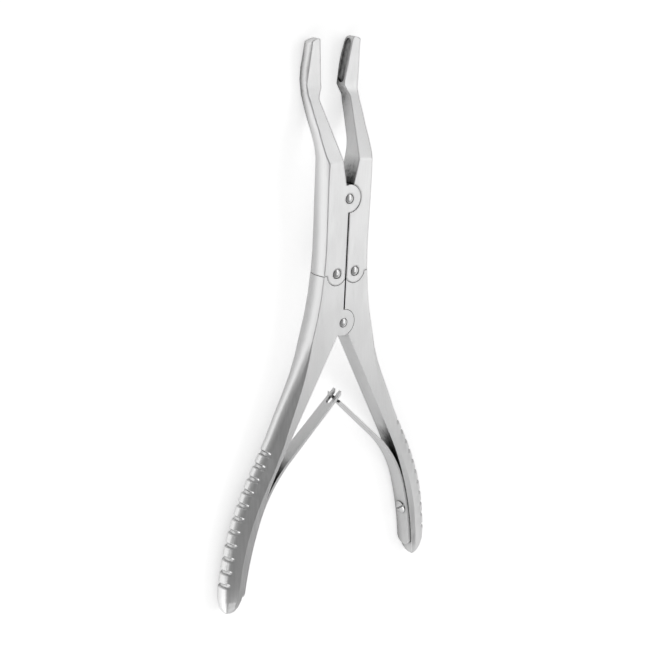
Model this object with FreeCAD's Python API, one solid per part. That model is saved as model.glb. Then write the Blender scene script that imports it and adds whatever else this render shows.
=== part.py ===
import FreeCAD, Part
import os
from math import asin, atan2, cos, degrees, pi, radians, sin, sqrt, tan

os.makedirs("parts", exist_ok=True)
Vector = FreeCAD.Vector

# A double action bone rongeur, modelled in its own plane first:
# x across, y along towards the jaws, z up out of the front face, handle pivot at x = y = 0.
# At the end the whole instrument is laid down on its cups and its handle ends.

# Pivots
PIVOT_SPACING = 39.0            # jaw pivot above the handle pivot, jaws open
LINK_HEIGHT = 16.1              # link pivots above the handle pivot
LINK_OFFSET = 3.45              # link pivots either side of the centre line
JAW_OPENING = 7.5               # degrees each jaw turns between open and shut
PIN_RADIUS = 1.5
PIN_PROUD = 0.1                 # pin beyond the front and the back face
PIN_FIT = 0.01                  # radial, in the piece that holds the pin
PIN_CLEARANCE = 0.05            # radial, in the piece that turns on the pin

# Lap joints, where each piece keeps half the thickness
BOX_THICKNESS = 6.8
LAP_GAP = 0.05                  # between the front and the back layer
LOBE_CLEARANCE = 0.12           # between a round lobe and its pocket
SLIT_GAP = 0.5                  # straight slit between the two halves
JAW_LOBE_RADIUS = 4.3
HANDLE_LOBE_RADIUS = 4.2
LINK_LOBE_RADIUS = 3.7
SHOULDER_DROP = 0.3             # link shoulder below the link pivots
SHOULDER_GAP = 0.12

# Outer sides of the box, half widths at the middle of their crown
SHOULDER_HALF_WIDTH = 9.25
WAIST_HALF_WIDTH = 8.85
WAIST_HEIGHT = 24.0
BOX_TOP_HALF_WIDTH = 9.1
CROWN_RADIUS = 7.0

# Jaws, lengths measured from the jaw pivot along the shut jaws
CREASE_DISTANCE = 12.2          # front face starts to lean back here
JAW_LEAN = 28.0                 # degrees
CUP_TILT = 5.0                  # degrees the cup leans forward again
CUP_START = 32.4
JAW_REACH = 47.2
CUP_THICKNESS = 3.9
BACK_CREASE_SETBACK = 3.6       # back face bends further up than the front face
HEEL_SETBACK = 2.5              # lowest bend of the back face, behind the cup's start
BELLY_RISE = 0.3                # back face at the cup's middle, above a parallel to the rim
CUP_WIDTH = 5.8
NECK_WIDTH = 4.4
NECK_INSET = 2.15               # inner side of the neck behind the cup rim
CUP_CROWN = 1.3                 # how far the outer side of the cup bulges
VEE_INSET = 1.45                # inner side at the crease
RIM_GAP = 0.1                   # left between the two rims when shut
CUP_HOLLOW_RADIUS = 1.5
CUP_RIM = 0.9                   # rim left beyond the hollow at the tip
CUP_HEEL = 0.6                  # rim left behind the hollow at the heel
TIP_ROUND = 2.4
TIP_BACK_ROUND = 3.2
TIP_NARROWING = 0.42            # share of the cup's width lost by its tip
CREASE_BULGE = 0.9              # outer side at the crease beyond the neck's
CREASE_ROUND = 2.0
VALLEY_ROUND = 7.0
BACK_ROUND = 12.0
CROWN_OVER = 0.6                # crown form beyond the faces, so that it trims them cleanly

# Handles
SPLAY = 27.8                    # degrees of the straight stretch to the centre line
SPLAY_END = -41.7               # height where the straight inner side starts to curve
GRIP_RADIUS = 116.0             # inner side of the grip, curving back
SIDE_LEAN = 3.5                 # degrees of the outer side at the shoulder
SIDE_RADIUS = 95.0              # outer side from the shoulder to the straight stretch
CROWN_AT_BOX = 0.78
GRIP_TOP = -45.0                # height where the section has become the grip's
GRIP_WIDTH = 7.8
WAIST_WIDTH = 7.2
END_WIDTH = 7.3
FACET_WIDTH = 3.0               # shallow facet beside the front face, on the grip
FACET_SLOPE = 0.3
FACET_AT_BOX = 0.15
GRIP_START = -4.0               # height where the section leaves the box's
SQUARE_FROM = -30.0             # height below which sections are square to the grip
CROWN_FLAT = 0.1                # how much less than half round the grip's side is
NOSE_CENTRE = 0.4               # share of the width that the nose closes in on
NOSE_START = -81.0
NOSE_LENGTH = 9.2
NOSE_STOP = 0.97                # share of the nose where its small flat end lies

# Grooves on the outer side of the grip
GROOVE_COUNT = 11
GROOVE_FIRST = -41.0            # height of the first groove on the inner side
GROOVE_PITCH = 4.15
GROOVE_WIDTH = 1.6
GROOVE_FLOOR = 0.7
GROOVE_DEPTH = 0.8

# Leaf springs
LEAF_THICKNESS = 0.9
LEAF_SEAT_GAP = 0.06
LEAF_END = -85.4                # height of the fixed end
LEAF_PEEL = -61.0               # height where the leaf leaves the handle
LEAF_BEND_RADIUS = 45.0
LEAF_LEAN = 46.5                # degrees of the straight stretch to the centre line
LEAF_OVERRUN = 2.3              # straight past the crossing
LEAF_WIDTH = 5.8
LEAF_END_ROUND = 2.7
FORK_WIDTH = 4.0
FORK_SLOT_WIDTH = 1.8
FORK_SLOT_LENGTH = 5.0
TONGUE_SHOULDER_WIDTH = 3.0
TONGUE_CLEARANCE = 0.25
TONGUE_LENGTH = 4.4

# Spring screws
SCREW_HEIGHT = -71.0
SCREW_HEAD_RADIUS = 1.9
SCREW_HEAD_HEIGHT = 0.7
SCREW_SHANK_RADIUS = 1.0
SCREW_DEPTH = 3.6
SCREW_SLOT_WIDTH = 0.55
SCREW_SLOT_DEPTH = 0.4
SCREW_FIT = 0.02

LEFT, RIGHT = -1, 1
FRONT, BACK = 1, -1
HALF = BOX_THICKNESS / 2
SLIT = SLIT_GAP / 2
REACH = 3 * JAW_REACH           # longer than anything that a cutter has to pass
JAW_PIVOT = Vector(0, PIVOT_SPACING, 0)
HANDLE_PIVOT = Vector(0, 0, 0)
OPENING = radians(JAW_OPENING)


def link_pivot(side):
    return Vector(side * LINK_OFFSET, LINK_HEIGHT, 0)


def upright_cylinder(centre, radius, low, high):
    """Cylinder along z round the given point, between two heights."""
    return Part.makeCylinder(radius, high - low, Vector(centre.x, centre.y, low))


def mirrored(shape, side):
    """The right-hand form itself, or its mirror image across the centre line."""
    if side == RIGHT:
        return shape
    return shape.mirror(Vector(0, 0, 0), Vector(1, 0, 0))


def rounded_outline(corners):
    """Closed wire through (u, v, radius) corners, each rounded by a tangent arc."""
    edges = []
    joints = []
    count = len(corners)
    for index, (u, v, radius) in enumerate(corners):
        here = Vector(u, v, 0)
        before = Vector(*corners[index - 1][:2], 0)
        after = Vector(*corners[(index + 1) % count][:2], 0)
        incoming = (before - here).normalize()
        outgoing = (after - here).normalize()
        if radius == 0:
            joints.append((here, None, here))
            continue
        half_angle = incoming.getAngle(outgoing) / 2
        reach = radius / tan(half_angle)
        middle = (incoming + outgoing).normalize()
        centre = here + middle * (radius / sin(half_angle))
        joints.append((here + incoming * reach, centre - middle * radius, here + outgoing * reach))
    for index, (start, through, end) in enumerate(joints):
        if through is not None:
            edges.append(Part.Arc(start, through, end).toShape())
        following = joints[(index + 1) % count][0]
        edges.append(Part.LineSegment(end, following).toShape())
    return Part.Wire(edges)


# Lap joints

def half_space(side):
    """Everything on one side of the centre slit."""
    block = Part.makeBox(REACH, 2 * REACH, 2 * REACH, Vector(SLIT, -REACH, -REACH))
    return mirrored(block, side)


def layer(face):
    """Lowest and highest z of the front or the back layer."""
    if face == FRONT:
        return LAP_GAP / 2, HALF
    return -HALF, -LAP_GAP / 2


def add_lap(body, centre, radius, face, keep=None):
    """Give the body a round lobe in one layer and a pocket for its mate in the other."""
    low, high = layer(face)
    if face == FRONT:
        pocket = upright_cylinder(centre, radius + LOBE_CLEARANCE, -REACH, low)
    else:
        pocket = upright_cylinder(centre, radius + LOBE_CLEARANCE, high, REACH)
    lobe = upright_cylinder(centre, radius, low, high)
    if keep is not None:
        lobe = lobe.common(keep)
    return body.cut(pocket).fuse(lobe)


def drill_pin_hole(body, centre, clearance):
    """Pin hole through both faces."""
    return body.cut(upright_cylinder(centre, PIN_RADIUS + clearance, -REACH, REACH))


def riveted_pin(centre):
    """Pin across both layers, just proud of each face."""
    return upright_cylinder(centre, PIN_RADIUS, -HALF - PIN_PROUD, HALF + PIN_PROUD)


# Jaws

def opened(across, along, radius):
    """Corner given on the shut right jaw, turned to the open pose about the jaw pivot."""
    x = across * cos(OPENING) + along * sin(OPENING)
    y = PIVOT_SPACING - across * sin(OPENING) + along * cos(OPENING)
    return x, y, radius


def jaw_plan():
    """Inner side and tip of the right jaw seen from the front, jaws open.

    The outer side is left wide here, because the crown form trims it.
    """
    shoulder = LINK_HEIGHT - SHOULDER_DROP + SHOULDER_GAP / 2
    rim = RIM_GAP / 2
    wide = 2 * BOX_TOP_HALF_WIDTH
    return rounded_outline([
        (SLIT, shoulder, 0),
        (wide, shoulder, 0),
        opened(wide, JAW_REACH - 2 * TIP_ROUND, 0),
        opened(rim + 0.9 * CUP_WIDTH, JAW_REACH - 2 * TIP_ROUND, 0),
        opened(rim + 0.55 * CUP_WIDTH, JAW_REACH - 0.4, TIP_ROUND),
        opened(rim, JAW_REACH, TIP_ROUND / 3),
        opened(rim, CUP_START, 0.3),
        opened(NECK_INSET, CUP_START - 3, 1.5),
        opened(VEE_INSET, CREASE_DISTANCE, 10),
        opened(VEE_INSET / 2, JAW_LOBE_RADIUS - 1, 0),
        (SLIT, PIVOT_SPACING, 0),
    ])


def front_height(along):
    """Height of the jaw's front face, before its bends are rounded."""
    fall = min(max(along - CREASE_DISTANCE, 0), CUP_START - CREASE_DISTANCE)
    rise = max(along - CUP_START, 0)
    return HALF - fall * tan(radians(JAW_LEAN)) + rise * tan(radians(CUP_TILT))


def back_corners():
    """Corners of the jaw's back face on the shut jaw: belly, heel and crease."""
    valley = front_height(CUP_START)
    belly = ((CUP_START + JAW_REACH) / 2, valley - CUP_THICKNESS + BELLY_RISE)
    heel = (CUP_START - HEEL_SETBACK, valley - CUP_THICKNESS + 2 * BELLY_RISE)
    crease = (CREASE_DISTANCE + BACK_CREASE_SETBACK, -HALF)
    return belly, heel, crease


def jaw_side_profile():
    """Outline of a shut jaw seen from the side: u along from the jaw pivot, v up."""
    belly, heel, crease = back_corners()
    tip = front_height(JAW_REACH)
    return rounded_outline([
        (-PIVOT_SPACING, HALF, 0),
        (CREASE_DISTANCE, HALF, CREASE_ROUND),
        (CUP_START, front_height(CUP_START), VALLEY_ROUND),
        (JAW_REACH + 1, tip, 0),
        (JAW_REACH + 1, tip - 1, 0),
        (JAW_REACH - 0.8, tip - CUP_THICKNESS + 0.2, TIP_BACK_ROUND),
        (*belly, 2 * BACK_ROUND),
        (*heel, BACK_ROUND),
        (*crease, BACK_ROUND),
        (-PIVOT_SPACING, -HALF, 0),
    ])


def back_height(along):
    """Height of the jaw's back face, before its bends are rounded."""
    belly, heel, crease = back_corners()
    if along <= crease[0]:
        return crease[1]
    if along <= heel[0]:
        return crease[1] + (heel[1] - crease[1]) * (along - crease[0]) / (heel[0] - crease[0])
    if along <= belly[0]:
        return heel[1] + (belly[1] - heel[1]) * (along - heel[0]) / (belly[0] - heel[0])
    return front_height(along) - CUP_THICKNESS


def between(stations, place):
    """Smooth value at a place from (place, value) stations in falling order."""
    if place <= stations[-1][0]:
        return stations[-1][1]
    for (upper, first), (lower, second) in zip(stations, stations[1:]):
        if lower <= place <= upper:
            share = (upper - place) / (upper - lower)
            return first + (second - first) * share * share * (3 - 2 * share)
    return stations[0][1]


def crown_section(outer, place, height, lean, half_height, bulge):
    """Section of the crown form: flat towards the inside, bulging on the outer side."""
    inside = -BOX_TOP_HALF_WIDTH
    top, bottom = Vector(outer - bulge, 0, half_height), Vector(outer - bulge, 0, -half_height)
    inner_top, inner_bottom = Vector(inside, 0, half_height), Vector(inside, 0, -half_height)
    edges = [
        Part.LineSegment(inner_top, top).toShape(),
        Part.Arc(top, Vector(outer, 0, 0), bottom).toShape(),
        Part.LineSegment(bottom, inner_bottom).toShape(),
        Part.LineSegment(inner_bottom, inner_top).toShape(),
    ]
    wire = Part.Wire(edges)
    wire.rotate(Vector(0, 0, 0), Vector(1, 0, 0), -lean)
    wire.translate(Vector(0, place, height))
    return wire


def crown_form():
    """Form that gives the right jaw its bulging outer side, from shoulder to tip."""
    half = HALF + CROWN_OVER
    bulge = CROWN_RADIUS - sqrt(CROWN_RADIUS ** 2 - half ** 2)
    shoulder = LINK_HEIGHT - SHOULDER_DROP
    top = PIVOT_SPACING + CREASE_DISTANCE / 2
    waist = [(top, BOX_TOP_HALF_WIDTH), (WAIST_HEIGHT, WAIST_HALF_WIDTH), (shoulder - 1, SHOULDER_HALF_WIDTH)]
    sections = []
    for step in range(5):
        y = shoulder - 1 + (top - shoulder + 1) * step / 4
        sections.append(crown_section(between(waist, y), y, 0, 0, half, bulge))
    neck = NECK_INSET + NECK_WIDTH
    cup = RIM_GAP / 2 + CUP_WIDTH
    crease = CREASE_DISTANCE
    sides = [(JAW_REACH + 2, cup - TIP_NARROWING * CUP_WIDTH), (CUP_START + 1, cup),
             ((crease + CUP_START) / 2, neck), (crease, neck + CREASE_BULGE)]
    leans = [(CUP_START + 4, -CUP_TILT), (CUP_START - 3, JAW_LEAN), (crease + 5, JAW_LEAN), (crease - 2, 0)]
    cup_half = CUP_THICKNESS / 2 + CROWN_OVER
    halves = [(CUP_START, cup_half), (crease, half)]
    bulges = [(CUP_START, CUP_CROWN), (crease, bulge)]
    for step in range(11):
        along = crease + 1.5 + (JAW_REACH + 2 - crease - 1.5) * step / 10
        height = (front_height(along) + back_height(along)) / 2
        section = crown_section(between(sides, along), along, height, between(leans, along),
                                between(halves, along), between(bulges, along))
        section.translate(JAW_PIVOT)
        section.rotate(JAW_PIVOT, Vector(0, 0, 1), -JAW_OPENING)
        sections.append(section)
    return Part.makeLoft(sections, True, True)


def across_profile(wire, low, high):
    """Extrude a (u, v) outline across the instrument, with u along y and v along z."""
    solid = Part.Face(wire).extrude(Vector(0, 0, high - low))
    solid.translate(Vector(0, 0, low))
    solid.rotate(Vector(0, 0, 0), Vector(1, 1, 1), 120)
    return solid


def cup_hollow():
    """Round-bottomed hollow with round ends in the rim face of the right jaw, jaws open."""
    start = CUP_START + CUP_HEEL + CUP_HOLLOW_RADIUS
    length = JAW_REACH - CUP_RIM - CUP_HOLLOW_RADIUS - start
    trough = Part.makeCylinder(CUP_HOLLOW_RADIUS, JAW_REACH, Vector(0, 0, 0), Vector(0, 1, 0))
    depth = 2 * CUP_HOLLOW_RADIUS
    outline = Part.makeBox(depth, length, depth, Vector(0, start, -CUP_HOLLOW_RADIUS))
    for along in (start, start + length):
        end = Part.makeCylinder(CUP_HOLLOW_RADIUS, depth, Vector(0, along, 0), Vector(1, 0, 0))
        outline = outline.fuse(end)
    hollow = trough.common(outline)
    hollow.rotate(Vector(0, CUP_START, 0), Vector(1, 0, 0), CUP_TILT)
    hollow.translate(Vector(0, 0, front_height(CUP_START) - CUP_THICKNESS / 2))
    hollow.translate(JAW_PIVOT)
    hollow.rotate(JAW_PIVOT, Vector(0, 0, 1), -JAW_OPENING)
    return hollow


def jaw(side, jaw_face):
    """One jaw: flat box half, crease, leaning neck and cup, with its two laps."""
    plan = Part.Face(jaw_plan()).extrude(Vector(0, 0, REACH))
    plan.translate(Vector(0, 0, -REACH / 2))
    profile = across_profile(jaw_side_profile(), -REACH / 2, REACH / 2)
    profile.translate(JAW_PIVOT)
    profile.rotate(JAW_PIVOT, Vector(0, 0, 1), -JAW_OPENING)
    body = plan.common(profile).common(crown_form())
    body = body.cut(cup_hollow())
    body = mirrored(body, side)
    body = add_lap(body, JAW_PIVOT, JAW_LOBE_RADIUS, jaw_face)
    body = add_lap(body, link_pivot(side), LINK_LOBE_RADIUS, FRONT, half_space(side))
    jaw_clearance = PIN_FIT if side == LEFT else PIN_CLEARANCE
    body = drill_pin_hole(body, JAW_PIVOT, jaw_clearance)
    body = drill_pin_hole(body, link_pivot(side), PIN_CLEARANCE)
    return body.removeSplitter()


# Handles

def inner_side(y):
    """Distance of the handle's inner side from the centre line at a height."""
    splay = radians(SPLAY)
    bend_x = -SPLAY_END * tan(splay)
    if y > SPLAY_END:
        return -y * tan(splay)
    centre_x = bend_x - GRIP_RADIUS * cos(splay)
    centre_y = SPLAY_END - GRIP_RADIUS * sin(splay)
    return centre_x + sqrt(GRIP_RADIUS ** 2 - (y - centre_y) ** 2)


def inner_lean(y):
    """Angle of the inner side to the centre line at a height on the grip."""
    splay = radians(SPLAY)
    return asin((y - SPLAY_END) / GRIP_RADIUS + sin(splay))


def outer_side(y):
    """Outermost distance of the handle from the centre line at a height."""
    lean, splay = radians(SIDE_LEAN), radians(SPLAY)
    top = LINK_HEIGHT - SHOULDER_DROP
    tangent_y = top - SIDE_RADIUS * (sin(splay) - sin(lean))
    if y > tangent_y:
        centre_x = SHOULDER_HALF_WIDTH + SIDE_RADIUS * cos(lean)
        centre_y = top + SIDE_RADIUS * sin(lean)
        return centre_x - sqrt(SIDE_RADIUS ** 2 - (y - centre_y) ** 2)
    stations = [
        (tangent_y, outer_side(tangent_y + 0.001) - inner_side(tangent_y)),
        (0.45 * tangent_y + 0.55 * GRIP_TOP, WAIST_WIDTH),
        (0.5 * (GRIP_TOP + NOSE_START), GRIP_WIDTH),
        (NOSE_START, END_WIDTH),
    ]
    return inner_side(y) + between(stations, y)


def facet_at(y):
    """Share of the way from the box to the grip, facet width and height of its outer edge."""
    share = min(max((GRIP_START - y) / (GRIP_START - GRIP_TOP), 0), 1)
    width = FACET_AT_BOX + (FACET_WIDTH - FACET_AT_BOX) * share
    return share, width, HALF - FACET_SLOPE * width


def section_lean(y):
    """Angle of the handle's cross-section plane: level in the box, square to the grip below."""
    if y < SPLAY_END:
        return inner_lean(y)
    share = min(max((GRIP_START - y) / (GRIP_START - SQUARE_FROM), 0), 1)
    return radians(SPLAY) * share * share * (3 - 2 * share)


def section_width(y):
    """Width of the handle along its leaning cross-section, from the inner to the outer side."""
    lean = section_lean(y)
    width = outer_side(y) - inner_side(y)
    for step in range(12):
        width = (outer_side(y + width * sin(lean)) - inner_side(y)) / cos(lean)
    return width


def handle_section(y, inset=0.0):
    """Closed section of the right handle at a height: flat face, facet and round side.

    The inset lowers the crown of the round side, and leaves its edges where they are.
    """
    lean = section_lean(y)
    width = section_width(y)
    share, facet, shoulder = facet_at(y)
    crown = CROWN_AT_BOX + (shoulder - CROWN_FLAT - CROWN_AT_BOX) * share
    scale = 1.0
    if y < NOSE_START:
        scale = sqrt(1 - ((NOSE_START - y) / NOSE_LENGTH) ** 2)

    def place(across, z):
        across = NOSE_CENTRE * width + (across - NOSE_CENTRE * width) * scale
        x = inner_side(y) + across * cos(lean)
        return Vector(x, y + across * sin(lean), z * scale)

    corners = [(0, HALF), (width - crown - facet, HALF), (width - crown, shoulder)]
    front = [place(across, z) for across, z in corners]
    back = [place(across, -z) for across, z in reversed(corners)]
    side = place(width - inset, 0)
    edges = [
        Part.LineSegment(front[0], front[1]).toShape(),
        Part.LineSegment(front[1], front[2]).toShape(),
        Part.Arc(front[2], side, back[0]).toShape(),
        Part.LineSegment(back[0], back[1]).toShape(),
        Part.LineSegment(back[1], back[2]).toShape(),
        Part.LineSegment(back[2], front[0]).toShape(),
    ]
    return Part.Wire(edges)


def handle_form():
    """Right handle without its laps: box part, grooved grip and nose, as one ruled loft."""
    top = LINK_HEIGHT - SHOULDER_DROP - SHOULDER_GAP / 2
    above = GROOVE_FIRST + GROOVE_PITCH
    count = 8
    sections = [handle_section(top + (above - top) * index / count) for index in range(count + 1)]
    y = GROOVE_FIRST
    for index in range(GROOVE_COUNT):
        for offset, inset in (
            (GROOVE_WIDTH / 2, 0),
            (GROOVE_FLOOR / 2, GROOVE_DEPTH),
            (-GROOVE_FLOOR / 2, GROOVE_DEPTH),
            (-GROOVE_WIDTH / 2, 0),
        ):
            sections.append(handle_section(y + offset, inset))
        y -= GROOVE_PITCH * cos(inner_lean(y))
    for share in (0, 0.3, 0.52, 0.72, 0.88, 1):
        sections.append(handle_section(NOSE_START - NOSE_LENGTH * NOSE_STOP * sin(pi / 2 * share)))
    return Part.makeLoft(sections, True, True).removeSplitter()


def seat_point(y, depth):
    """Point at a depth outwards from the inner side at a height, and its lean."""
    lean = inner_lean(y)
    return Vector(inner_side(y) + depth * cos(lean), y + depth * sin(lean), 0), lean


def screw_frame(shape):
    """Carry a shape built along -x at the origin onto the screw's seat."""
    point, lean = seat_point(SCREW_HEIGHT, -LEAF_THICKNESS - LEAF_SEAT_GAP)
    shape.rotate(Vector(0, 0, 0), Vector(0, 0, 1), degrees(lean))
    shape.translate(point)
    return shape


def screw_hole(radius, depth):
    """Cylinder from outside the leaf into the handle, round the screw's axis."""
    mouth = Vector(-SCREW_HEAD_HEIGHT, 0, 0)
    hole = Part.makeCylinder(radius, depth + SCREW_HEAD_HEIGHT, mouth, Vector(1, 0, 0))
    return screw_frame(hole)


def handle(side, handle_face):
    """One handle with its pivot lap, link lap, pin holes, grooves and screw hole."""
    body = handle_form().common(half_space(RIGHT))
    body = body.cut(screw_hole(SCREW_SHANK_RADIUS + SCREW_FIT, SCREW_DEPTH + 0.3))
    body = mirrored(body, side)
    body = add_lap(body, HANDLE_PIVOT, HANDLE_LOBE_RADIUS, handle_face)
    body = add_lap(body, link_pivot(side), LINK_LOBE_RADIUS, BACK, half_space(side))
    pivot_clearance = PIN_FIT if side == LEFT else PIN_CLEARANCE
    body = drill_pin_hole(body, HANDLE_PIVOT, pivot_clearance)
    body = drill_pin_hole(body, link_pivot(side), PIN_FIT)
    return body.removeSplitter()


# Leaf springs

def leaf_edge_points(depth):
    """Seat arc, free bend and straight stretch of a leaf surface at a depth from the seat."""
    end, _ = seat_point(LEAF_END - 1, depth)
    halfway, _ = seat_point((LEAF_END - 1 + LEAF_PEEL) / 2, depth)
    peel, lean = seat_point(LEAF_PEEL, depth)
    out = radians(LEAF_LEAN)
    radius = LEAF_BEND_RADIUS + depth
    middle = (lean + out) / 2

    def on_bend(angle):
        x = peel.x - radius * (cos(lean) - cos(angle))
        return Vector(x, peel.y + radius * (sin(angle) - sin(lean)), 0)

    bent = on_bend(out)
    run = bent.x / sin(out) + LEAF_OVERRUN
    tip = bent + Vector(-sin(out), cos(out), 0) * run
    return end, halfway, peel, on_bend(middle), bent, tip


def leaf_plan():
    """Right leaf seen from the front: a strip that follows the handle, then springs away."""
    near = leaf_edge_points(-LEAF_SEAT_GAP)
    far = leaf_edge_points(-LEAF_SEAT_GAP - LEAF_THICKNESS)
    edges = [
        Part.Arc(near[0], near[1], near[2]).toShape(),
        Part.Arc(near[2], near[3], near[4]).toShape(),
        Part.LineSegment(near[4], near[5]).toShape(),
        Part.LineSegment(near[5], far[5]).toShape(),
        Part.LineSegment(far[5], far[4]).toShape(),
        Part.Arc(far[4], far[3], far[2]).toShape(),
        Part.Arc(far[2], far[1], far[0]).toShape(),
        Part.LineSegment(far[0], near[0]).toShape(),
    ]
    return Part.Wire(edges)


def leaf_blank(tip_width):
    """Leaf strip, full width on its seat and tapering to the given width at the crossing."""
    strip = Part.Face(leaf_plan()).extrude(Vector(0, 0, LEAF_WIDTH))
    strip.translate(Vector(0, 0, -LEAF_WIDTH / 2))
    crossing = leaf_edge_points(0)[5].y
    outline = rounded_outline([
        (LEAF_END, LEAF_WIDTH / 2, LEAF_END_ROUND),
        (LEAF_END, -LEAF_WIDTH / 2, LEAF_END_ROUND),
        (LEAF_PEEL, -LEAF_WIDTH / 2, 20),
        (crossing + 2, -tip_width / 2, 0),
        (crossing + 2, tip_width / 2, 0),
        (LEAF_PEEL, LEAF_WIDTH / 2, 20),
    ])
    return strip.common(across_profile(outline, -REACH, REACH))


def along_leaf(shape):
    """Carry a shape with its length along x onto the straight stretch, tip at the origin."""
    tip = leaf_edge_points(-LEAF_SEAT_GAP - LEAF_THICKNESS / 2)[5]
    shape.rotate(Vector(0, 0, 0), Vector(0, 0, 1), -(90 - LEAF_LEAN))
    shape.translate(tip)
    return shape


def leaf_spring(side, forked):
    """Right leaf ends in a tongue, left leaf in a fork that the tongue passes through."""
    thick = 3 * LEAF_THICKNESS
    if forked:
        leaf = leaf_blank(FORK_WIDTH)
        radius = FORK_SLOT_WIDTH / 2
        bottom = Vector(FORK_SLOT_LENGTH - radius, -thick / 2, 0)
        slot = Part.makeBox(bottom.x + 1, thick, FORK_SLOT_WIDTH, Vector(-1, -thick / 2, -radius))
        end = Part.makeCylinder(radius, thick, bottom, Vector(0, 1, 0))
        leaf = leaf.cut(along_leaf(slot.fuse(end)))
    else:
        leaf = leaf_blank(TONGUE_SHOULDER_WIDTH)
        half_tongue = FORK_SLOT_WIDTH / 2 - TONGUE_CLEARANCE
        for face in (FRONT, BACK):
            low = half_tongue if face == FRONT else -half_tongue - LEAF_WIDTH
            step = Part.makeBox(TONGUE_LENGTH + 1, thick, LEAF_WIDTH, Vector(-1, -thick / 2, low))
            leaf = leaf.cut(along_leaf(step))
    leaf = leaf.cut(screw_hole(SCREW_SHANK_RADIUS + SCREW_FIT, SCREW_DEPTH))
    return mirrored(leaf, side)


def spring_screw(side):
    """Slotted screw with a rounded head on the leaf and its shank in the handle."""
    shank = Part.makeCylinder(SCREW_SHANK_RADIUS, SCREW_DEPTH + SCREW_HEAD_HEIGHT / 2,
                              Vector(-SCREW_HEAD_HEIGHT / 2, 0, 0), Vector(1, 0, 0))
    head = Part.makeCylinder(SCREW_HEAD_RADIUS, SCREW_HEAD_HEIGHT,
                             Vector(-SCREW_HEAD_HEIGHT, 0, 0), Vector(1, 0, 0))
    slot = Part.makeBox(2 * SCREW_SLOT_DEPTH, SCREW_SLOT_WIDTH, 3 * SCREW_HEAD_RADIUS,
                        Vector(-SCREW_HEAD_HEIGHT - SCREW_SLOT_DEPTH, -SCREW_SLOT_WIDTH / 2,
                               -1.5 * SCREW_HEAD_RADIUS))
    slot.rotate(Vector(0, 0, 0), Vector(1, 0, 0), 25)
    screw = shank.fuse(head).removeSplitter().cut(slot)
    screw.translate(Vector(-SCREW_FIT, 0, 0))
    return mirrored(screw_frame(screw), side)


# Whole instrument, in its own plane

def instrument():
    """Every piece by name, jaws open, before the instrument is laid down."""
    return {
        "left_jaw": jaw(LEFT, FRONT),
        "right_jaw": jaw(RIGHT, BACK),
        "left_handle": handle(LEFT, FRONT),
        "right_handle": handle(RIGHT, BACK),
        "jaw_pivot_pin": riveted_pin(JAW_PIVOT),
        "handle_pivot_pin": riveted_pin(HANDLE_PIVOT),
        "left_link_pin": riveted_pin(link_pivot(LEFT)),
        "right_link_pin": riveted_pin(link_pivot(RIGHT)),
        "left_leaf_spring": leaf_spring(LEFT, True),
        "right_leaf_spring": leaf_spring(RIGHT, False),
        "left_spring_screw": spring_screw(LEFT),
        "right_spring_screw": spring_screw(RIGHT),
    }


def lay_down(pieces):
    """Tilt the instrument onto its cups and handle ends, and centre it over the origin."""
    cups = Part.makeCompound([pieces["left_jaw"], pieces["right_jaw"]])
    cup_low = cups.optimalBoundingBox(False, False).ZMin
    cup_along = PIVOT_SPACING + (CUP_START + JAW_REACH) / 2
    tilt = degrees(atan2(-HALF - cup_low, cup_along - NOSE_START))
    for shape in pieces.values():
        shape.rotate(Vector(0, 0, 0), Vector(1, 0, 0), tilt)
    box = Part.makeCompound(list(pieces.values())).optimalBoundingBox(False, False)
    move = Vector(-(box.XMin + box.XMax) / 2, -(box.YMin + box.YMax) / 2, -box.ZMin)
    for shape in pieces.values():
        shape.translate(move)
    return tilt, move


pieces = instrument()
tilt, move = lay_down(pieces)
for name, shape in pieces.items():
    shape.exportStep("parts/" + name + ".step")
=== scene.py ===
import math

import bmesh
import bpy
import numpy as np
from mathutils import Matrix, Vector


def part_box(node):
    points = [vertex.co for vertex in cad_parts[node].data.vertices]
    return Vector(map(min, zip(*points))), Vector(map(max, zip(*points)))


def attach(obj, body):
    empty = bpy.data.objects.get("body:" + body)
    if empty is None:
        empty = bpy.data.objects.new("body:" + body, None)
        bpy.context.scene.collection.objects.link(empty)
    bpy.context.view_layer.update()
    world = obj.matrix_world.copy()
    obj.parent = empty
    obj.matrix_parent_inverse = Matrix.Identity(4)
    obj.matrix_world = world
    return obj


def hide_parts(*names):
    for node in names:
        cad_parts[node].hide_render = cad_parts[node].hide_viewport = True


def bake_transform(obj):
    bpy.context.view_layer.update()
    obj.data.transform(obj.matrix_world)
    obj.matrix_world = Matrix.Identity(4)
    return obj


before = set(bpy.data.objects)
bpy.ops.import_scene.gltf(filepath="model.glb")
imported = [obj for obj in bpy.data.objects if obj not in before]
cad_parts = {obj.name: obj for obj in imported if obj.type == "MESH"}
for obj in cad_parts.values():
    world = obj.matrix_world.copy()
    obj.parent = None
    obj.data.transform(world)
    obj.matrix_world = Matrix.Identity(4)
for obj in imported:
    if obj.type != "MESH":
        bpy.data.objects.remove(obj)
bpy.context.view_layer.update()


# Camera
# A long lens at the left of the instrument, looking down across it from the jaw end,
# so that the front face, the left side and the inside of the right half all show.

SENSOR_WIDTH = 36.0
FOCAL_LENGTH = 83.59
NEAREST_SEEN = 0.01
CAMERA_PLACE = (-0.27945, 0.12817, 0.35369)
CAMERA_FORWARD = (0.59677, -0.27510, -0.75378)
CAMERA_UP = (0.15867, 0.96130, -0.22522)


def look(place, forward, up):
    """Matrix that stands at the place, with -z along forward and y as near up as it can be."""
    back = -np.array(forward) / np.linalg.norm(forward)
    right = np.cross(up, back)
    right /= np.linalg.norm(right)
    turned = np.stack([right, np.cross(back, right), back, np.array(place)], axis=1)
    return Matrix([*turned.tolist(), [0, 0, 0, 1]])


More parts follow.
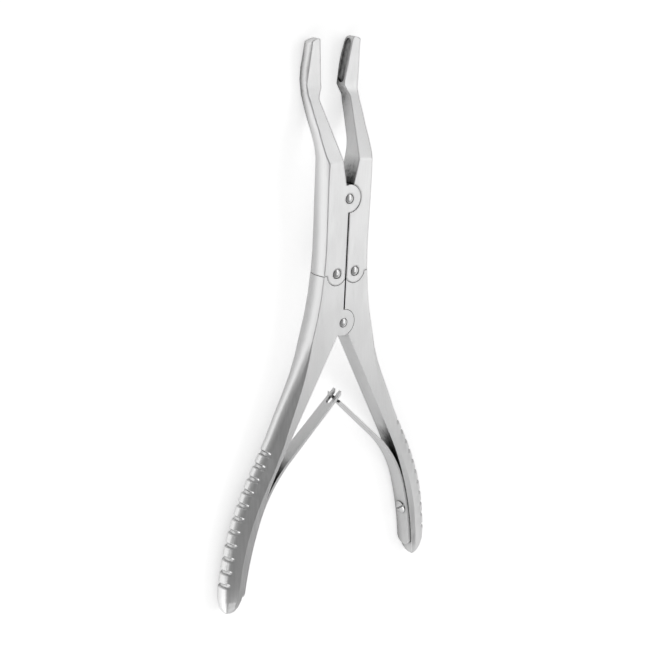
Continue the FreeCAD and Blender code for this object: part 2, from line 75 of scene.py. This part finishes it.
camera_data = bpy.data.cameras.new("camera")
camera_data.sensor_width = SENSOR_WIDTH
camera_data.lens = FOCAL_LENGTH
camera_data.clip_start = NEAREST_SEEN
camera = bpy.data.objects.new("camera", camera_data)
bpy.context.scene.collection.objects.link(camera)
camera.matrix_world = look(CAMERA_PLACE, CAMERA_FORWARD, CAMERA_UP)
bpy.context.scene.camera = camera


# Floor and light
# A plain white table in a pale room with a dark ceiling. The flat front faces mirror a
# tall soft lamp at the right, two lamps at the lower left light the round outer sides,
# and a low one at the right fills in.

TABLE_HALF_WIDTH = 3.0
TABLE_WHITE = (0.9, 0.9, 0.9, 1)
TABLE_ROUGHNESS = 0.9
PLAIN_WHITE = (1, 1, 1, 1)
GLOW_SEEN = 0.60
GLOW_SHADED = 0.26
GLOW_OPEN = 0.64
SHADE_SLOPE = 0.166
SHADE_START = -0.0167
SHADE_WIDTH = 0.014
ROOM_GLOW = 0.50
CEILING_GLOW = 0.23
ROOM_TOP = 0.10
CEILING_EDGE = 0.85


def add_floor():
    """Square sheet under the instrument, white to the camera. In reflections its glow holds a
    painted shade: dim under and between the handles, and white on the open side of the left
    handle, which is left of the line x = SHADE_SLOPE y + SHADE_START, turning over SHADE_WIDTH."""
    edge = TABLE_HALF_WIDTH
    corners = [(-edge, -edge, 0), (edge, -edge, 0), (edge, edge, 0), (-edge, edge, 0)]
    mesh = bpy.data.meshes.new("floor")
    mesh.from_pydata(corners, [], [(0, 1, 2, 3)])
    floor = bpy.data.objects.new("floor", mesh)
    bpy.context.scene.collection.objects.link(floor)
    material = bpy.data.materials.new("table_white")
    material.use_nodes = True
    nodes, links = material.node_tree.nodes, material.node_tree.links
    shader = nodes["Principled BSDF"]
    shader.inputs["Base Color"].default_value = TABLE_WHITE
    shader.inputs["Roughness"].default_value = TABLE_ROUGHNESS
    shader.inputs["Emission Color"].default_value = PLAIN_WHITE
    ray = nodes.new("ShaderNodeLightPath")

    def times_plus(value, factor, more=0.0):
        result = nodes.new("ShaderNodeMath")
        result.operation = "MULTIPLY_ADD"
        links.new(value, result.inputs[0])
        for socket, source in ((result.inputs[1], factor), (result.inputs[2], more)):
            if isinstance(source, bpy.types.NodeSocket):
                links.new(source, socket)
            else:
                socket.default_value = source
        return result.outputs[0]

    # Painted shade: the glow that reflections see drops to GLOW_SHADED beside a straight line
    # under the handles, standing in for the instrument's shadow on the table.
    place = nodes.new("ShaderNodeTexCoord")
    axes = nodes.new("ShaderNodeSeparateXYZ")
    links.new(place.outputs["Object"], axes.inputs[0])
    beside = times_plus(axes.outputs["Y"], SHADE_SLOPE,
                        times_plus(axes.outputs["X"], -1.0, SHADE_START))
    painted_shade_ramp = nodes.new("ShaderNodeMapRange")
    painted_shade_ramp.inputs["From Max"].default_value = SHADE_WIDTH
    painted_shade_ramp.inputs["To Min"].default_value = GLOW_SHADED
    painted_shade_ramp.inputs["To Max"].default_value = GLOW_OPEN
    links.new(beside, painted_shade_ramp.inputs["Value"])
    mirrored = times_plus(ray.outputs["Is Glossy Ray"], painted_shade_ramp.outputs["Result"])
    glow = times_plus(ray.outputs["Is Camera Ray"], GLOW_SEEN, mirrored)
    links.new(glow, shader.inputs["Emission Strength"])
    mesh.materials.append(material)


def add_lamp(name, place, target, up, size, glow):
    """Soft rectangular lamp that faces a target. Its power is the glow times pi times its
    area, so lamps of the same glow look equally bright."""
    width, height = size
    data = bpy.data.lights.new(name, "AREA")
    data.shape = "RECTANGLE"
    data.size = width
    data.size_y = height
    data.energy = glow * math.pi * width * height
    lamp = bpy.data.objects.new(name, data)
    bpy.context.scene.collection.objects.link(lamp)
    lamp.matrix_world = look(place, np.array(target) - np.array(place), up)


add_floor()
add_lamp("lamp_right", place=(0.66, 0.16, 0.76), target=(0, 0.02, 0), up=(0, 1, 0),
         size=(0.44, 1.36), glow=1.08)
add_lamp("lamp_left", place=(-0.46, -0.80, 0.52), target=(0, 0, 0), up=(0.7, -0.7, 0),
         size=(0.50, 1.30), glow=1.15)
add_lamp("lamp_low", place=(-0.56, -0.74, 0.15), target=(0, 0, 0), up=(0.7, -0.7, 0),
         size=(0.28, 1.50), glow=1.15)
add_lamp("lamp_low_right", place=(0.85, -0.50, 0.22), target=(0, 0, 0), up=(0.5, 0.85, 0),
         size=(0.30, 1.00), glow=0.52)

world = bpy.data.worlds.new("room")
world.use_nodes = True
bpy.context.scene.world = world
background = world.node_tree.nodes["Background"]
background.inputs["Color"].default_value = PLAIN_WHITE
direction = world.node_tree.nodes.new("ShaderNodeTexCoord")
height = world.node_tree.nodes.new("ShaderNodeSeparateXYZ")
ceiling = world.node_tree.nodes.new("ShaderNodeMapRange")
ceiling.inputs["From Min"].default_value = ROOM_TOP
ceiling.inputs["From Max"].default_value = CEILING_EDGE
ceiling.inputs["To Min"].default_value = ROOM_GLOW
ceiling.inputs["To Max"].default_value = CEILING_GLOW
world.node_tree.links.new(direction.outputs["Generated"], height.inputs[0])
world.node_tree.links.new(height.outputs["Z"], ceiling.inputs["Value"])
world.node_tree.links.new(ceiling.outputs["Result"], background.inputs["Strength"])
bpy.context.scene.view_settings.view_transform = "Standard"


# Jaws
# Forged stainless jaws, each with a flat box half, a leaning neck and a hollow cup.
# They are ground flat, then brushed along their length, with every edge eased by hand.

HAIRLINE_DEPTH = 0.00003
HAIRLINE_STRENGTH = 0.16
WEAR = 0.06
NOISE_LOW, NOISE_HIGH = 0.3, 0.7
SHADE_SAMPLES = 8
MIX_FACTOR, MIX_FIRST, MIX_SECOND, MIX_RESULT = 0, 6, 7, 2
MERGE_DISTANCE = 1e-7
CREASE_ANGLE = math.radians(11)


def satin_steel(name, colour, roughness, ease, reach=0.0038):
    """Brushed steel: hairlines from noise stretched along y, soft clouds of handling, edges
    eased by the given radius and rubbed a little brighter, and painted shade in hollows, in
    crevices and on faces near the table, wherever surfaces lie within the given reach,
    mottled by a speckle noise."""
    material = bpy.data.materials.new(name)
    material.use_nodes = True
    nodes, links = material.node_tree.nodes, material.node_tree.links
    shader = nodes["Principled BSDF"]
    shader.inputs["Metallic"].default_value = 1.0
    place = nodes.new("ShaderNodeTexCoord")

    def noise(scale, detail, along):
        stretched = nodes.new("ShaderNodeMapping")
        stretched.inputs["Scale"].default_value = (1.0, along, 1.0)
        links.new(place.outputs["Object"], stretched.inputs["Vector"])
        texture = nodes.new("ShaderNodeTexNoise")
        texture.inputs["Scale"].default_value = scale
        texture.inputs["Detail"].default_value = detail
        links.new(stretched.outputs["Vector"], texture.inputs["Vector"])
        return texture.outputs["Fac"]

    def mapped(value, start, end, low=NOISE_LOW, high=NOISE_HIGH):
        ramp = nodes.new("ShaderNodeMapRange")
        ramp.inputs["From Min"].default_value = low
        ramp.inputs["From Max"].default_value = high
        ramp.inputs["To Min"].default_value = start
        ramp.inputs["To Max"].default_value = end
        links.new(value, ramp.inputs["Value"])
        return ramp.outputs["Result"]

    def added(first, second):
        total = nodes.new("ShaderNodeMath")
        total.operation = "ADD"
        links.new(first, total.inputs[0])
        links.new(second, total.inputs[1])
        return total.outputs[0]

    hairlines = noise(scale=2400.0, detail=3.0, along=0.025)
    clouds = noise(scale=110.0, detail=3.0, along=0.5)
    eased = nodes.new("ShaderNodeBevel")
    eased.samples = SHADE_SAMPLES
    eased.inputs["Radius"].default_value = ease
    shape = nodes.new("ShaderNodeNewGeometry")
    alike = nodes.new("ShaderNodeVectorMath")
    alike.operation = "DOT_PRODUCT"
    links.new(eased.outputs["Normal"], alike.inputs[0])
    links.new(shape.outputs["Normal"], alike.inputs[1])
    rubbed = mapped(alike.outputs["Value"], start=0.0, end=0.5, low=0.99, high=0.80)

    brushed = added(mapped(hairlines, start=0.0, end=0.4), mapped(clouds, start=0.0, end=0.4))
    tint = nodes.new("ShaderNodeMix")
    tint.data_type = "RGBA"
    darker = [channel * (1 - WEAR) for channel in colour]
    lighter = [min(1.0, channel * (1 + WEAR)) for channel in colour]
    tint.inputs[MIX_FIRST].default_value = (*darker, 1)
    tint.inputs[MIX_SECOND].default_value = (*lighter, 1)
    links.new(added(brushed, rubbed), tint.inputs[MIX_FACTOR])

    # Painted shade: ambient occlusion within the reach, the table included, darkens the colour
    # in hollows, crevices and under parts near the table, mottled by a speckle noise.
    crevice = nodes.new("ShaderNodeAmbientOcclusion")
    crevice.samples = SHADE_SAMPLES
    crevice.inputs["Distance"].default_value = reach
    links.new(tint.outputs[MIX_RESULT], crevice.inputs["Color"])
    speckle = noise(scale=1300.0, detail=2.0, along=0.6)
    shade_speckle = mapped(speckle, start=-0.16, end=0.16, low=0.35, high=0.65)
    open_share = mapped(added(crevice.outputs["AO"], shade_speckle), start=0.06, end=1.0,
                        low=0.14, high=0.70)
    painted_shade = nodes.new("ShaderNodeMix")
    painted_shade.data_type = "RGBA"
    painted_shade.blend_type = "MULTIPLY"
    painted_shade.inputs[MIX_FACTOR].default_value = 1.0
    links.new(crevice.outputs["Color"], painted_shade.inputs[MIX_FIRST])
    links.new(open_share, painted_shade.inputs[MIX_SECOND])
    links.new(painted_shade.outputs[MIX_RESULT], shader.inputs["Base Color"])

    rough = added(mapped(hairlines, start=roughness - 0.05, end=roughness + 0.03),
                  mapped(clouds, start=-0.02, end=0.03))
    links.new(rough, shader.inputs["Roughness"])
    bump = nodes.new("ShaderNodeBump")
    bump.inputs["Strength"].default_value = HAIRLINE_STRENGTH
    bump.inputs["Distance"].default_value = HAIRLINE_DEPTH
    links.new(hairlines, bump.inputs["Height"])
    links.new(eased.outputs["Normal"], bump.inputs["Normal"])
    links.new(bump.outputs["Normal"], shader.inputs["Normal"])
    return material


def merged_copy(node, material):
    """Copy of a CAD node's mesh with its triangles merged and its round faces smooth."""
    work = bmesh.new()
    work.from_mesh(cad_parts[node].data)
    bmesh.ops.remove_doubles(work, verts=work.verts, dist=MERGE_DISTANCE)
    mesh = bpy.data.meshes.new(node + "_finished")
    work.to_mesh(mesh)
    work.free()
    for name in ("custom_normal", "sharp_face", "sharp_edge"):
        if name in mesh.attributes:
            mesh.attributes.remove(mesh.attributes[name])
    mesh.materials.append(material)
    mesh.shade_smooth()
    mesh.set_sharp_from_angle(angle=CREASE_ANGLE)
    return mesh


def place_piece(mesh, node):
    """Object at the origin for a mesh that stands for a CAD node."""
    piece = bpy.data.objects.new(mesh.name, mesh)
    bpy.context.scene.collection.objects.link(piece)
    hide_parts(node)
    return piece


jaw_steel = satin_steel("jaw_steel", colour=(0.80, 0.80, 0.80), roughness=0.34,
                        ease=0.00060, reach=0.0062)
for jaw in ("left_jaw", "right_jaw"):
    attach(place_piece(merged_copy(jaw, jaw_steel), jaw), jaw)


# Handles
# Forged stainless handles that splay out from the box, with a shallow facet beside the
# flat front face and grooves filed across the round outer side of each grip.

handle_steel = satin_steel("handle_steel", colour=(0.79, 0.79, 0.79), roughness=0.35,
                           ease=0.00016)
for handle in ("left_handle", "right_handle"):
    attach(place_piece(merged_copy(handle, handle_steel), handle), handle)


# Pins
# Stainless pins riveted through the laps, whose ends are turned to low polished domes
# that stand in a fine ring cut round each hole.

PIN_RADIUS = 0.0015
DOME_RADIUS = 0.00130
DOME_HEIGHT = 0.00027
DOME_POWER = 2.2
DOME_ROWS = 14
RING_DEPTH = 0.00014
RING_OUTER_DEPTH = RING_DEPTH * 1.4
PIN_TURNS = 56
FACE_HEIGHT = 0.0034
FACE_NORMAL = np.array([0.0, -0.046728, 0.998908])
SLIVER = 1e-8
SHARP_ANGLE = math.radians(32)


def closed_outwards(mesh):
    """Merge the doubled points of a mesh and turn its faces outwards."""
    work = bmesh.new()
    work.from_mesh(mesh)
    bmesh.ops.remove_doubles(work, verts=work.verts, dist=MERGE_DISTANCE)
    bmesh.ops.dissolve_degenerate(work, edges=work.edges, dist=SLIVER)
    bmesh.ops.recalc_face_normals(work, faces=work.faces)
    work.to_mesh(mesh)
    work.free()
    mesh.shade_smooth()
    mesh.set_sharp_from_angle(angle=SHARP_ANGLE)


def revolved(name, radii, heights, centre, axis, material):
    """Closed surface of revolution: at angle a and profile place s it lies at the centre,
    plus r(s) cos a and r(s) sin a along two directions square to the axis, plus h(s)
    along the axis."""
    side = np.cross(axis, (1.0, 0.0, 0.0))
    side /= np.linalg.norm(side)
    other = np.cross(axis, side)
    angle = np.arange(PIN_TURNS) * 2 * np.pi / PIN_TURNS
    ring = np.cos(angle)[:, None] * side + np.sin(angle)[:, None] * other
    points = centre + radii[:, None, None] * ring[None] + heights[:, None, None] * axis
    rows, columns = np.meshgrid(np.arange(len(radii) - 1), np.arange(PIN_TURNS), indexing="ij")
    first = rows * PIN_TURNS + columns
    second = rows * PIN_TURNS + (columns + 1) % PIN_TURNS
    quads = np.stack([first, second, second + PIN_TURNS, first + PIN_TURNS], axis=-1)
    mesh = bpy.data.meshes.new(name)
    mesh.from_pydata(points.reshape(-1, 3).tolist(), [], quads.reshape(-1, 4).tolist())
    closed_outwards(mesh)
    mesh.materials.append(material)
    return mesh


def riveted_pin(node, material):
    """Profile from pole to pole: a dome whose height falls with the distance from the axis
    to the power DOME_POWER, the ring groove round it, the shank, and the same below."""
    share = np.linspace(0, 1, DOME_ROWS)
    radii = np.concatenate([DOME_RADIUS * share, [DOME_RADIUS, PIN_RADIUS]])
    heights = np.concatenate([FACE_HEIGHT + DOME_HEIGHT * (1 - share ** DOME_POWER),
                              [FACE_HEIGHT - RING_DEPTH, FACE_HEIGHT - RING_OUTER_DEPTH]])
    centre = np.mean(np.array(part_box(node)), axis=0)
    return revolved(node + "_riveted", np.concatenate([radii, radii[::-1]]),
                    np.concatenate([heights, -heights[::-1]]), centre, FACE_NORMAL, material)


pin_steel = satin_steel("pin_steel", colour=(0.84, 0.84, 0.84), roughness=0.27, ease=0.00004)
for pin, body in (("jaw_pivot_pin", "left_jaw"), ("handle_pivot_pin", "left_handle"),
                  ("left_link_pin", "left_handle"), ("right_link_pin", "right_handle")):
    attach(place_piece(riveted_pin(pin, pin_steel), pin), body)


# Leaf springs
# Two thin tempered leaves, one screwed inside each grip. Each springs away from its grip
# in a bend, and they cross below the handle pivot, a forked end over a tongue.

BEND_START = (0.0300, -0.0580, 0.0046)
BEND_END = (0.0215, -0.0440, 0.0053)
BEND_CUTS = 10


def leaf_with_bend(node, sign, material):
    """Copy of the CAD leaf, cut across at even steps from one end of its bend to the other,
    with the bend's two ends. The sign is 1 for the right leaf and -1 for its mirror image."""
    mesh = merged_copy(node, material)
    start = np.array(BEND_START) * (sign, 1, 1)
    end = np.array(BEND_END) * (sign, 1, 1)
    work = bmesh.new()
    work.from_mesh(mesh)
    for place in np.linspace(start, end, BEND_CUTS):
        everything = work.verts[:] + work.edges[:] + work.faces[:]
        bmesh.ops.bisect_plane(work, geom=everything, plane_co=place, plane_no=end - start)
    work.to_mesh(mesh)
    work.free()
    return mesh, tuple(start.tolist()), tuple(end.tolist())


leaf_steel = satin_steel("leaf_steel", colour=(0.78, 0.78, 0.78), roughness=0.40, ease=0.00012)
for side, sign in (("left", -1), ("right", 1)):
    leaf_mesh, bend_start, bend_end = leaf_with_bend(side + "_leaf_spring", sign, leaf_steel)
    leaf = place_piece(leaf_mesh, side + "_leaf_spring")
    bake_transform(leaf)


# Spring screws
# Small stainless screws with low domed heads, each cut with one slot and polished.
# They hold the leaves down on the inner faces of the grips.

HEAD_RADIUS = 0.0022
HEAD_HEIGHT = 0.00100
HEAD_RIM = 0.00035
HEAD_LEAST = 0.00005
HEAD_ROWS = 12
HEAD_COLUMNS = 17
SLOT_HALF_WIDTH = 0.00028
SLOT_DEPTH = 0.00045
SLOT_UPRIGHT = 0.80
SLOT_ALONG = 0.60
SCREW_SEAT = (0.031754, -0.071205, 0.0)
SCREW_LEAN = math.radians(12.345)
LAID_MOVE = (0.0, 0.0019263, 0.0074110)


def slotted_head(node, sign, material):
    """Top: height falls with the square of the distance from the axis, less the slot's depth
    between its two walls, but to HEAD_LEAST at most. Across x the rows end on the rim, at
    y = the root of R2 - x2, and the outline then drops to the seat. The head is placed on
    the grip of the level instrument, then tilted about x and moved, as the instrument
    comes to rest on the table."""
    beyond = np.linspace(0, 1, HEAD_ROWS)[1:] * (HEAD_RADIUS - SLOT_HALF_WIDTH) + SLOT_HALF_WIDTH
    walls = [-SLOT_HALF_WIDTH, -SLOT_HALF_WIDTH, SLOT_HALF_WIDTH, SLOT_HALF_WIDTH]
    across = np.concatenate([-beyond[::-1], walls, beyond])
    sunk = np.zeros(len(across))
    sunk[HEAD_ROWS:HEAD_ROWS + 2] = SLOT_DEPTH
    reach = np.sqrt(np.maximum(HEAD_RADIUS ** 2 - across ** 2, 0))
    x = np.repeat(across[:, None], HEAD_COLUMNS, axis=1)
    y = reach[:, None] * np.linspace(-1, 1, HEAD_COLUMNS)
    fall = (x ** 2 + y ** 2) / HEAD_RADIUS ** 2
    dome = HEAD_RIM + (HEAD_HEIGHT - HEAD_RIM) * (1 - fall) - sunk[:, None]
    top = np.stack([x, y, np.maximum(dome, HEAD_LEAST)], axis=-1)
    seat = top * (1, 1, 0)
    points = np.concatenate([top.reshape(-1, 3), seat.reshape(-1, 3)])

    index = np.arange(x.size).reshape(x.shape)
    upper = np.stack([index[:-1, :-1], index[1:, :-1], index[1:, 1:], index[:-1, 1:]], axis=-1)
    upper = upper.reshape(-1, 4)
    lower = upper[:, ::-1] + x.size
    rim = np.concatenate([index[:, 0], index[-1, 1:], index[::-1, -1][1:], index[0, ::-1][1:]])
    wall = np.stack([rim[:-1], rim[1:], rim[1:] + x.size, rim[:-1] + x.size], axis=-1)

    outwards = np.array([-math.cos(SCREW_LEAN), -math.sin(SCREW_LEAN), 0.0])
    along_grip = np.array([-math.sin(SCREW_LEAN), math.cos(SCREW_LEAN), 0.0])
    slot_way = np.array([0.0, 0.0, 1.0]) * SLOT_UPRIGHT + along_grip * SLOT_ALONG
    cross_way = np.cross(outwards, slot_way)
    on_grip = np.array(SCREW_SEAT) + points @ np.stack([cross_way, slot_way, outwards])
    on_grip[:, 0] *= sign
    tilt = math.asin(-FACE_NORMAL[1])
    tilted = np.array([[1.0, 0.0, 0.0], [0.0, math.cos(tilt), -math.sin(tilt)],
                       [0.0, math.sin(tilt), math.cos(tilt)]])
    laid = on_grip @ tilted.T + LAID_MOVE
    mesh = bpy.data.meshes.new(node + "_slotted")
    mesh.from_pydata(laid.tolist(), [], np.concatenate([upper, lower, wall]).tolist())
    closed_outwards(mesh)
    mesh.materials.append(material)
    return mesh


screw_steel = satin_steel("screw_steel", colour=(0.80, 0.80, 0.80), roughness=0.22, ease=0.00004)
for side, sign in (("left", -1), ("right", 1)):
    node = side + "_spring_screw"
    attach(place_piece(slotted_head(node, sign, screw_steel), node), side + "_handle")
